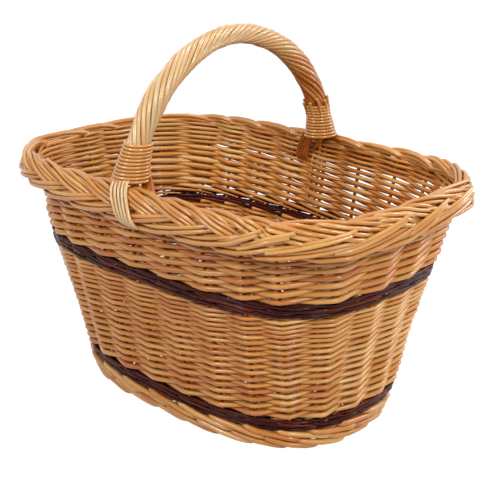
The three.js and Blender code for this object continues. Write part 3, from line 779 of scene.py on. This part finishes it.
def through_period(keys, stage):
    """Smooth closed reading of (stage, value) keys over one period of the strand."""
    at, values = np.array(keys).T
    at = np.concatenate([at[-3:] - PLAIT_PERIOD, at, at[:3] + PLAIT_PERIOD])
    values = np.concatenate([values[-3:], values, values[:3]])
    fine = np.linspace(0, PLAIT_PERIOD, 501)
    curve = np.interp(fine, at, values)[:-1]
    reach = 12
    window = np.hanning(2 * reach + 1)
    padded = np.concatenate([curve[-reach:], curve, curve[:reach]])
    curve = np.convolve(padded, window / window.sum(), mode="valid")
    return np.interp(np.mod(stage, PLAIT_PERIOD), fine, np.append(curve, curve[0]))


def strand_centre(place):
    stage = place + PLAIT_PHASE
    above = PLAIT_LIFT * through_period(PLAIT_ABOVE, stage)
    far_share = np.where(above < 0, FAR_DIP_SHARE, FAR_LIFT_SHARE)
    above = above * mix(1.0, far_share, stretch(place, *FAR_SIDE))
    return on_border(place, through_period(PLAIT_ACROSS, stage), above)


def strand_shares(stage, far):
    """Shares by which a stage belongs to the slant, to the inner edge and to the outer one."""
    slant = smooth((stage - SLANT_START - FAR_DELAY * far) / STAGE_EASE)
    slant = slant * smooth((SLANT_END - stage) / SLANT_END_EASE)
    inside = smooth((stage - INNER_START) / STAGE_EASE)
    inside = inside * smooth((INNER_END + FAR_DELAY * far - stage) / STAGE_EASE) * (1 - slant)
    return slant, inside, 1 - slant - inside


def border():
    """The rods of the strand lie side by side on the slants and closer along the edges."""
    rods = Rods()
    places = STAKES * PLAIT_PERIOD
    count = places * PLAIT_STEPS
    place = np.arange(count) / PLAIT_STEPS
    path = strand_centre(place)
    along = strand_centre(place + 0.04) - strand_centre(place - 0.04)
    along /= np.linalg.norm(along, axis=1, keepdims=True)
    sideways = np.cross(plait_frame(place)[2], along)
    sideways /= np.linalg.norm(sideways, axis=1, keepdims=True)
    above = np.cross(along, sideways)
    around = np.mod(place, STAKES)
    far = stretch(place, *FAR_SIDE)
    sparse = stretch(place, *SPARSE_BORDER)
    near = smooth((around - BOLD_START) / BOLD_EASE) + smooth((BOLD_END - around) / BOLD_EASE)
    bold = 1 + BOLD_NEAR * near + BOLD_FAR * far
    slant, inside, outside = strand_shares(np.mod(place + PLAIT_PHASE, PLAIT_PERIOD), far)
    for k in range(len(SLANT_SIDES)):
        side = mix(SLANT_SIDES[k], SPARSE_SIDES[k], sparse) * slant
        side = side + OUTER_SIDES[k] * outside + INNER_SIDES[k] * inside
        side = side * 2 * PLAIT_ROD * bold + periodic_wander(count, places, 0.4)
        rise = mix(SLANT_RISES[k], SPARSE_RISES[k], sparse) * slant
        rise = rise + OUTER_RISES[k] * outside + INNER_RISES[k] * inside
        rise = np.where(rise < 0, rise * mix(1.0, FAR_DEPTH_SHARE, far), rise)
        rise = rise * PLAIT_ROD + periodic_wander(count, places, 0.4)
        thick = PLAIT_ROD * (0.97 * bold + periodic_wander(count, places // 2, 0.07))
        tone = 0.4 + periodic_wander(count, places, 0.2)
        rod = path + sideways * side[:, None] + above * rise[:, None]
        rods.add(rod, thick, above, tone=tone, closed=True)
    for end, crossing in PLAIT_ENDS:
        cut_ends(rods, end, crossing)
    rods.build("border_rods", border_finish, "pale_willow", ["plaited_border"])


def cut_ends(rods, end, crossing):
    """Two rods leave their strand, lie up over the next one and are cut off, where others cross."""
    t = np.linspace(0, 1, 24)
    for k in range(2):
        place = end + END_START + END_LENGTH * t + k * END_STAGGER
        across = mix(*END_ACROSS, t ** 1.3) + (0.5 - k) * END_SPACING
        above = mix(*END_ABOVE, smooth(t / 0.75))
        short_rod(rods, place, across, above, (0.9, 1.0), (0.0, 0.3))
    for k in range(crossing):
        place = end + CROSSING_START + CROSSING_LENGTH * t + k * CROSSING_STAGGER
        across = mix(*CROSSING_ACROSS, t ** 1.3) - (k - 1) * CROSSING_SPACING
        above = mix(*CROSSING_ABOVE, smooth(t / 0.3)) * (1 - smooth((t - 0.6) / 0.4))
        short_rod(rods, place, across, above, (0.95, 1.05), (0.0, 0.4))


def short_rod(rods, place, across, above, sizes, tones):
    path = on_border(place, across, above + wander(len(place), 10, 0.2))
    radius = PLAIT_ROD * rng.uniform(*sizes)
    rods.add(path, radius, plait_frame(place)[2], tone=rng.uniform(*tones))


# Handle

def arch_curve():
    """Bow's centre line from spring to spring, as reach, height, and length from the start."""
    angle = np.linspace(0, math.pi, 1201)
    power = 2 / mix(*HANDLE_FULLNESS, smooth(angle / math.pi))
    cosine, sine = np.cos(angle), np.sin(angle)
    reach = -HANDLE_HALF_SPAN * np.sign(cosine) * np.abs(cosine) ** power
    height = mix(HANDLE_SPRING, HANDLE_APEX, np.clip(sine, 0, 1) ** power)
    run = np.concatenate([[0], np.cumsum(np.hypot(np.diff(reach), np.diff(height)))])
    return reach, height, run


ARCH_REACH, ARCH_HEIGHT, ARCH_RUN = arch_curve()
ARCH_LENGTH = ARCH_RUN[-1]


def arch_point(distance):
    """Point of the bow at a distance along it, and straight below its ends."""
    below = np.minimum(distance, 0) + np.minimum(ARCH_LENGTH - distance, 0)
    distance = np.clip(distance, 0, ARCH_LENGTH)
    y = np.interp(distance, ARCH_RUN, ARCH_REACH)
    z = np.interp(distance, ARCH_RUN, ARCH_HEIGHT)
    return np.stack([np.zeros_like(y), y, z + below], axis=-1)


def arch_outward(distance):
    step = 2.0
    along = arch_point(distance + step) - arch_point(distance - step)
    return np.cross(X_AXIS, along / np.linalg.norm(along, axis=-1, keepdims=True))


def roping_radius(distance):
    from_foot = np.minimum(distance, ARCH_LENGTH - distance)
    rise = smooth((from_foot - BINDING_HEIGHT) / (ARCH_LENGTH / 2 - BINDING_HEIGHT))
    free = mix(ROPING_FOOT_RADIUS, ROPING_APEX_RADIUS, rise)
    return mix(ROPING_NECK_RADIUS, free, smooth((from_foot - BINDING_HEIGHT) / ROPING_NECK_LENGTH))


def roping():
    """Rods laid round the bow in a twist, darker towards the far foot as painted shade."""
    rods = Rods()
    distance = np.linspace(-ROPING_OVERRUN, ARCH_LENGTH + ROPING_OVERRUN, 260)
    centre, out = arch_point(distance), arch_outward(distance)
    outer = roping_radius(distance)
    extra = ROPING_EXTRA_TURNS * smooth(distance / ARCH_LENGTH * 2 - 0.5)
    turns = distance / ROPING_LAY + extra
    share = math.sin(math.pi / ROPING_RODS)
    thick = outer * share / (1 + share)
    # Painted shade: the rods darken towards the far foot, where that leg lies in shade
    painted_shade = 0.6 * smooth((distance - 0.55 * ARCH_LENGTH) / (0.3 * ARCH_LENGTH))
    for k in range(ROPING_RODS):
        angle = 2 * math.pi * (k / ROPING_RODS + turns) + wander(len(distance), 40, 0.03)
        spoke = X_AXIS * np.cos(angle)[:, None] + out * np.sin(angle)[:, None]
        path = centre + spoke * (outer - thick + wander(len(distance), 30, 0.35))[:, None]
        tone = rng.uniform(0.0, 0.35) + painted_shade
        rods.add(path, thick * rng.uniform(0.92, 1.05), spoke, tone=tone, sides=10)
    rods.build("handle_rods", pale, "pale_willow", ["handle_roping"])


def handle_core():
    """The bow inside the roping, and the rods of its legs down inside the wall."""
    rods = Rods()
    heights = np.linspace(LEG_FOOT, HANDLE_SPRING + 8, 40)
    bend = smooth((heights - LEG_BEND) / LEG_BEND_LENGTH)
    reach = mix(plan_at(heights)[1] - 1.0, HANDLE_HALF_SPAN, bend)
    for side in (-1, 1):
        for top_x, foot_x in LEG_RODS:
            path = np.stack([-side * mix(foot_x, top_x, bend), side * reach, heights], axis=1)
            rods.add(path, by_height(LEG_RADII, heights), X_AXIS, tone=0.35)
    rods.add(arch_point(np.linspace(0, ARCH_LENGTH, 80)), BOW_RADIUS, X_AXIS, tone=0.5, sides=12)
    rods.build("handle_core", stick, "stick_willow", ["handle_bow"])


def binding(side, name, node_name):
    """Rod wound round the foot of the handle, flaring along the rim at the bottom."""
    rods = Rods()
    t = np.linspace(0, 1, BINDING_WRAPS * 28)
    run = mix(BINDING_FOOT, BINDING_HEIGHT - BINDING_ROD, t)
    centre = arch_point(run if side < 0 else ARCH_LENGTH - run)
    angle = 2 * math.pi * BINDING_WRAPS * t + math.pi
    spoke = X_AXIS * np.cos(angle)[:, None] + side * Y_AXIS * np.sin(angle)[:, None]
    toward = side * math.sqrt(0.5) * (X_AXIS + Y_AXIS)
    lean = 0.5 + 0.5 * spoke @ toward
    flare = (1 - t) ** 1.5
    all_round, one_side = BINDING_SPREADS[side]
    spread = BINDING_RADII[side] + all_round * flare + wander(len(t), 20, 0.12)
    path = centre + spoke * spread[:, None] + toward * (one_side * flare * lean)[:, None]
    rods.add(path, BINDING_ROD, spoke, tone=0.45, flat=BINDING_ROD * 1.02)
    if side > 0:
        crown(rods)
    rods.build(name, bound, "buff_willow", [node_name])


def crown(rods):
    """Cut ends of the handle's own rods, standing out of the top of the far binding."""
    t = np.linspace(0, 1, 14)
    for k in range(CROWN_RODS):
        angle = 2 * math.pi * (k / CROWN_RODS) + rng.uniform(-0.12, 0.12)
        reach = BINDING_HEIGHT + rng.uniform(*CROWN_HEIGHTS)
        distance = ARCH_LENGTH - mix(BINDING_HEIGHT - CROWN_DEPTH, reach, t)
        spoke = X_AXIS * np.cos(angle) + arch_outward(distance) * np.sin(angle)
        opening = t ** 2 * rng.uniform(*CROWN_OPENINGS)
        path = arch_point(distance) + spoke * (ROPING_NECK_RADIUS + CROWN_CLEARANCE + opening)[:, None]
        rods.add(path, CROWN_ROD, spoke, tone=rng.uniform(0.3, 0.9))


def curve_through(guide, t):
    """Smooth curve through a guide of evenly spaced points."""
    guide = np.asarray(guide, float)
    slope = np.gradient(guide, axis=0)
    along = t * (len(guide) - 1)
    i = np.minimum(along.astype(int), len(guide) - 2)
    u = (along - i)[:, None]
    return ((2 * u**3 - 3 * u**2 + 1) * guide[i] + (u**3 - 2 * u**2 + u) * slope[i]
            + (3 * u**2 - 2 * u**3) * guide[i + 1] + (u**3 - u**2) * slope[i + 1])


def tail(guide, pitch, radius, tones, fan=(1.0, 1.0)):
    """Rods side by side along a guide, spread in X by a share that changes along them."""
    rods = Rods()
    t = np.linspace(0, 1, 60)
    path = curve_through(guide, t)
    spread = pitch * np.interp(t, np.linspace(0, 1, len(fan)), fan)
    for k in range(TAIL_RODS):
        shift = (k - (TAIL_RODS - 1) / 2) * spread + wander(len(t), 20, 0.2)
        rod = path + X_AXIS * shift[:, None]
        rod[:, 2] += wander(len(t), 20, 0.15)
        rods.add(rod, radius, Y_AXIS, tone=rng.uniform(*tones))
    return rods


def outer_tail(side, name, node_name):
    """Rods brought out of the foot of the handle and down over the border."""
    out, up = OUTER_TAIL_START
    guide = [(0.0, side * (HANDLE_HALF_SPAN + out), HANDLE_SPRING + up)]
    foot = np.array([0.0 if side < 0 else STAKES / 2])
    for across, above, x in OUTER_TAIL:
        point = on_border(foot, [across], [above])[0]
        guide.append((-side * x, point[1], point[2]))
    rods = tail(guide, OUTER_TAIL_PITCH, OUTER_TAIL_ROD, (0.0, 0.3), OUTER_TAIL_FAN)
    rods.build(name, pale, "pale_willow", [node_name])


def inner_tail(side, name, node_name):
    """Rods brought out of the foot of the handle and down inside the wall."""
    guide = [(-side * x, side * (HANDLE_HALF_SPAN + out), HANDLE_SPRING + up) for x, out, up in INNER_TAIL]
    rods = tail(guide, INNER_TAIL_PITCH, INNER_TAIL_ROD, (0.5, 0.9))
    rods.build(name, inner, "inner_willow", [node_name])


# Base

BASE_STATIONS = [(i - (CROSS_STICKS - 1) / 2) * CROSS_STICK_PITCH for i in range(CROSS_STICKS)]


def base_sticks():
    half_length, half_width, squareness = plan_at(BASE_MIDDLE)
    length, width = half_length - BASE_MARGIN, half_width - BASE_MARGIN
    rods = Rods()
    for x in BASE_STATIONS:
        reach = width * (1 - abs(x / length) ** squareness) ** (1 / squareness)
        y = np.linspace(-reach, reach, 24)
        path = np.stack([0 * y + x, y, 0 * y + BASE_MIDDLE], axis=1)
        rods.add(path, CROSS_STICK_RADIUS, X_AXIS, tone=rng.uniform(0, 0.8))
    names = [f"base_cross_stick_{i + 1}" for i in range(CROSS_STICKS)]
    rods.build("base_cross_sticks", stick, "stick_willow", names)

    rods = Rods()
    x = np.linspace(-length, length, 60)
    for k in range(LONG_STICKS):
        y = (k - (LONG_STICKS - 1) / 2) * LONG_STICK_PITCH
        path = np.stack([x, 0 * x + y, 0 * x + BASE_MIDDLE], axis=1)
        rods.add(path, LONG_STICK_HALF_WIDTH, Y_AXIS, tone=rng.uniform(0, 0.8), flat=LONG_STICK_HALF_HEIGHT)
    names = [f"base_long_stick_{i + 1}" for i in range(LONG_STICKS)]
    rods.build("base_long_sticks", stick, "stick_willow", names)


def base_rods():
    """Rings of rods over one cross stick and under the next, from the edge in to the long sticks."""
    half_length, half_width, squareness = plan_at(BASE_MIDDLE)
    last_station = BASE_STATIONS[-1]
    angle = np.arange(420) / 420 * 2 * math.pi
    sine, cosine = np.sin(angle), np.cos(angle)
    insets = np.arange(BASE_EDGE_INSET, half_width - BASE_CORE_HALF_WIDTH, BASE_ROD_PITCH)
    rods = Rods()
    for ring, inset in enumerate(insets):
        reach = half_length - inset
        power = 2 / mix(squareness, BASE_CORE_SQUARENESS, inset / half_width)
        x = reach * np.sign(sine) * np.abs(sine) ** power
        y = -(half_width - inset) * np.sign(cosine) * np.abs(cosine) ** power
        past_last = np.clip((np.abs(x) - last_station) / max(reach - last_station, 1.0), 0, 1)
        index = np.interp(x, BASE_STATIONS, np.arange(CROSS_STICKS))
        index = index + np.sign(x) * np.arcsin(past_last) / (math.pi / 2)
        swing = np.cos(math.pi * (index + ring)) * np.where(y > 0, -1, 1)
        path = np.stack([x, y, BASE_MIDDLE + BASE_ROD_SWING * fold(swing, 0.85)], axis=1)
        rods.add(path, BASE_ROD, Z_AXIS, tone=rng.uniform(), closed=True)
    rods.build("base_rods", buff, "buff_willow", ["base_weave"])


# Assembly

stakes()
siding("main_siding_rods", LOWER_BAND_TOP + SIDING_GAP, UPPER_BAND_BOTTOM - SIDING_GAP, MAIN_PITCH,
       main_thickness, "buff_willow", "main_siding", 0.0)
siding("upper_siding_rods", UPPER_BAND_TOP, UPPER_SIDING_TOP, UPPER_PITCH, upper_thickness,
       "inner_willow", "upper_siding", UPPER_LEAD)

foot = wale(FOOT_BOTTOM, FOOT_TOP, 2, FOOT_ROD, (0.0, 0.7), slack=0.3, ripple=0.4, fall_share=1.1)
foot.build("foot_rods", buff, "buff_willow", ["foot_wale"])
lower_band = wale(FOOT_TOP, LOWER_BAND_TOP, 3, LOWER_BAND_ROD, (0, 1), slack=0.4, ripple=0.6)
lower_band.build("lower_band_rods", dark, "dark_willow", ["lower_dark_wale"])
upper_band = wale(UPPER_BAND_BOTTOM, UPPER_BAND_TOP, 3, UPPER_BAND_ROD, (0, 1), slack=0.4, ripple=0.6,
                  inside_share=0.38)
upper_band.build("upper_band_rods", dark, "dark_willow", ["upper_dark_wale"])

border()
roping()
handle_core()
binding(-1, "front_binding_rods", "front_binding")
binding(1, "back_binding_rods", "back_binding")
outer_tail(-1, "front_outer_tail_rods", "front_outer_tail")
outer_tail(1, "back_outer_tail_rods", "back_outer_tail")
inner_tail(-1, "front_inner_tail_rods", "front_inner_tail")
inner_tail(1, "back_inner_tail_rods", "back_inner_tail")
base_sticks()
base_rods()


# Studio

def seen_directly(tree):
    """1 for what the camera sees, straight, reflected or through glass, and 0 for light on the object."""
    path = node(tree, "ShaderNodeLightPath")
    first = node(tree, "ShaderNodeMath", operation="MAXIMUM")
    second = node(tree, "ShaderNodeMath", operation="MAXIMUM")
    tree.links.new(path.outputs["Is Camera Ray"], first.inputs[0])
    tree.links.new(path.outputs["Is Glossy Ray"], first.inputs[1])
    tree.links.new(first.outputs[0], second.inputs[0])
    tree.links.new(path.outputs["Is Transmission Ray"], second.inputs[1])
    return second.outputs[0]


def floor():
    """White floor: lit as cloth is, with a share of plain white added, so that it keeps a soft shadow."""
    material = bpy.data.materials.new("studio_white")
    material.use_nodes = True
    tree = material.node_tree
    tree.nodes.clear()
    output = node(tree, "ShaderNodeOutputMaterial")
    cloth = node(tree, "ShaderNodeBsdfDiffuse")
    cloth.inputs["Color"].default_value = (FLOOR_GREY, FLOOR_GREY, FLOOR_GREY, 1)
    white = node(tree, "ShaderNodeEmission")
    white.inputs["Strength"].default_value = FLOOR_WHITE
    blend = node(tree, "ShaderNodeMixShader")
    share = node(tree, "ShaderNodeMath", operation="MULTIPLY")
    share.inputs[1].default_value = FLOOR_WHITE_SHARE
    tree.links.new(seen_directly(tree), share.inputs[0])
    tree.links.new(share.outputs[0], blend.inputs["Fac"])
    tree.links.new(cloth.outputs[0], blend.inputs[1])
    tree.links.new(white.outputs[0], blend.inputs[2])
    tree.links.new(blend.outputs[0], output.inputs["Surface"])
    mesh = bpy.data.meshes.new("floor")
    corners = [(x * FLOOR_REACH, y * FLOOR_REACH, 0) for x, y in ((-1, -1), (1, -1), (1, 1), (-1, 1))]
    mesh.from_pydata(corners, [], [(0, 1, 2, 3)])
    mesh.materials.append(material)
    plane = bpy.data.objects.new("floor", mesh)
    bpy.context.scene.collection.objects.link(plane)


def world():
    made = bpy.data.worlds.new("studio")
    made.use_nodes = True
    bpy.context.scene.world = made
    tree = made.node_tree
    background = tree.nodes["Background"]
    background.inputs["Color"].default_value = (1, 1, 1, 1)
    level = mapped(tree, seen_directly(tree), (0.0, 1.0), (WORLD_LIGHT, 1.0))
    tree.links.new(level, background.inputs["Strength"])


def lamp(name, position, size, power):
    data = bpy.data.lights.new(name, "AREA")
    data.shape = "RECTANGLE"
    data.size, data.size_y = size
    data.energy = power
    made = bpy.data.objects.new(name, data)
    made.location = position
    made.rotation_euler = (Vector(LAMP_TARGET) - Vector(position)).to_track_quat("-Z", "Y").to_euler()
    bpy.context.scene.collection.objects.link(made)


def camera():
    azimuth, elevation = math.radians(CAMERA_AZIMUTH), math.radians(CAMERA_ELEVATION)
    roll = math.radians(CAMERA_ROLL)
    back = Vector((math.sin(azimuth) * math.cos(elevation), -math.cos(azimuth) * math.cos(elevation),
                   math.sin(elevation)))
    right = Vector((math.cos(azimuth), math.sin(azimuth), 0))
    up = back.cross(right)
    rolled_right = right * math.cos(roll) + up * math.sin(roll)
    rolled_up = up * math.cos(roll) - right * math.sin(roll)
    turn = Matrix((rolled_right, rolled_up, back)).transposed().to_4x4()
    data = bpy.data.cameras.new("camera")
    data.lens = CAMERA_LENS
    data.sensor_width = CAMERA_SENSOR
    made = bpy.data.objects.new("camera", data)
    made.matrix_world = Matrix.Translation(Vector(CAMERA_PLACE)) @ turn
    bpy.context.scene.collection.objects.link(made)
    bpy.context.scene.camera = made


floor()
world()
for lamp_values in LAMPS:
    lamp(*lamp_values)
camera()
bpy.context.scene.view_settings.view_transform = "Standard"
